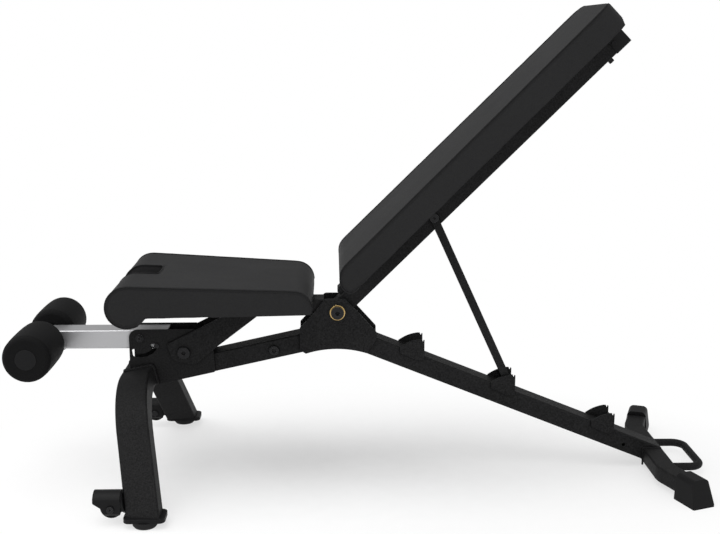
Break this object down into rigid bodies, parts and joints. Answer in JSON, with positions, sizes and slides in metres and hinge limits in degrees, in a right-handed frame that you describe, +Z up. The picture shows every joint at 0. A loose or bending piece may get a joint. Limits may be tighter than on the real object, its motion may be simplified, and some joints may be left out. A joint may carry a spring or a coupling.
{
  "type": "adjustable weight bench",
  "caption": "Adjustable weight bench with a padded seat, a backrest that tilts on a strut, a folding leg brace with foam rollers, a bent front leg and transport wheels.",
  "frame": {"origin": "centre of the bounding box's bottom face, on the floor", "axes": "+Z up, +X from the foam rollers to the rear stabilizer, +Y to the left as seen from the rollers"},
  "size_m": [1.3975, 0.6088, 0.9475],
  "materials": {
    "frame_paint": "textured black powder coat",
    "brace_steel": "satin silver",
    "brass": "plain",
    "bolt_steel": "black oxide",
    "bush_steel": "plain",
    "rubber": "matt",
    "foam": "closed-cell foam",
    "pad_cover": "fine-grained black vinyl",
    "board_wood": "plain plywood",
    "black_plastic": "moulded",
    "grey_plastic": "moulded"
  },
  "bodies": {
    "frame": {"main_tube": "frame_paint", "rear_tube": "frame_paint", "pivot_plate_near": "frame_paint", "pivot_plate_far": "frame_paint", "front_plate_near": "frame_paint", "front_plate_far": "frame_paint", "seat_arm_near": "frame_paint", "seat_arm_far": "frame_paint", "seat_rail": "frame_paint", "seat_rail_plug": "black_plastic", "front_leg_bow": "frame_paint", "leg_cap_near": "black_plastic", "leg_cap_far": "black_plastic", "foot_pads": "rubber", "wheel_fork_near": "black_plastic", "wheel_fork_far": "black_plastic", "wheel_axles": "bolt_steel", "rear_stabilizer": "frame_paint", "stabilizer_shoe_near": "grey_plastic", "stabilizer_shoe_far": "grey_plastic", "rear_handle": "frame_paint", "catch_upright": "frame_paint", "catch_incline": "frame_paint", "catch_flat": "frame_paint", "pivot_bolt": "bolt_steel", "pivot_nut": "bolt_steel", "pivot_bushes": "brass", "bracket_bolt": "bolt_steel", "brace_pivot_bolt": "bolt_steel", "side_bolts": "bolt_steel", "seat_board": "board_wood", "seat_pad": "pad_cover", "seat_screws": "bolt_steel"},
    "wheel_n": {"wheel_near": "rubber"},
    "wheel_f": {"wheel_far": "rubber"},
    "pivot_stage": {"pivot_sleeve": "bush_steel"},
    "backrest": {"backrest_tube": "frame_paint", "backrest_hub": "frame_paint", "backrest_board": "board_wood", "backrest_pad": "pad_cover", "backrest_brackets": "frame_paint", "backrest_screws": "bolt_steel", "backrest_end_cap": "grey_plastic", "backrest_bumper": "rubber", "strut_bolt": "bolt_steel"},
    "strut_stage": {"strut_sleeve": "bush_steel"},
    "strut": {"strut_bar_near": "frame_paint", "strut_bar_far": "frame_paint", "strut_foot_rod": "bolt_steel"},
    "brace_pivot": {"brace_bush": "bush_steel"},
    "leg_brace": {"brace_tube": "brace_steel", "brace_plugs": "black_plastic", "roller_bar": "brace_steel", "roller_end_plugs": "black_plastic", "lock_pin": "bolt_steel"},
    "roller_n": {"foam_roller_near": "foam"},
    "roller_f": {"foam_roller_far": "foam"}
  },
  "joints": [
    {"name": "backrest_lower", "type": "hinge", "parent": "frame", "child": "pivot_stage", "pos_m": [-0.058, 0, 0.34], "axis": [0, -1, 0], "range_deg": [-42.9, 0]},
    {"name": "backrest_raise", "type": "hinge", "parent": "pivot_stage", "child": "backrest", "pos_m": [-0.058, 0, 0.34], "axis": [0, -1, 0], "range_deg": [0, 42.07]},
    {"name": "strut_follow_raise", "type": "hinge", "parent": "backrest", "child": "strut_stage", "pos_m": [0.13555, 0, 0.53153], "axis": [0, -1, 0], "range_deg": [-44.23, 0.3]},
    {"name": "strut_follow_lower", "type": "hinge", "parent": "strut_stage", "child": "strut", "pos_m": [0.13555, 0, 0.53153], "axis": [0, -1, 0], "range_deg": [-0.3, 67.98]},
    {"name": "brace_fold", "type": "hinge", "parent": "frame", "child": "brace_pivot", "pos_m": [-0.4577, 0, 0.2893], "axis": [0, 1, 0], "range_deg": [0, 82]},
    {"name": "brace_lock", "type": "slide", "parent": "brace_pivot", "child": "leg_brace", "axis": [-1, 0, 0], "range_m": [0, 0.0087]},
    {"name": "roller_near_spin", "type": "hinge", "parent": "leg_brace", "child": "roller_n", "pos_m": [-0.6505, -0.1025, 0.285], "axis": [0, 1, 0], "continuous": true},
    {"name": "roller_far_spin", "type": "hinge", "parent": "leg_brace", "child": "roller_f", "pos_m": [-0.6505, 0.1025, 0.285], "axis": [0, 1, 0], "continuous": true},
    {"name": "wheel_near_spin", "type": "hinge", "parent": "frame", "child": "wheel_n", "pos_m": [-0.4787, -0.265, 0.0336], "axis": [0, 1, 0], "continuous": true},
    {"name": "wheel_far_spin", "type": "hinge", "parent": "frame", "child": "wheel_f", "pos_m": [-0.4787, 0.265, 0.0336], "axis": [0, 1, 0], "continuous": true}
  ],
  "couplings": [
    {"joint": "strut_follow_raise", "follows": "backrest_raise", "ratio": -1.0372},
    {"joint": "strut_follow_lower", "follows": "backrest_lower", "ratio": -1.5707}
  ]
}
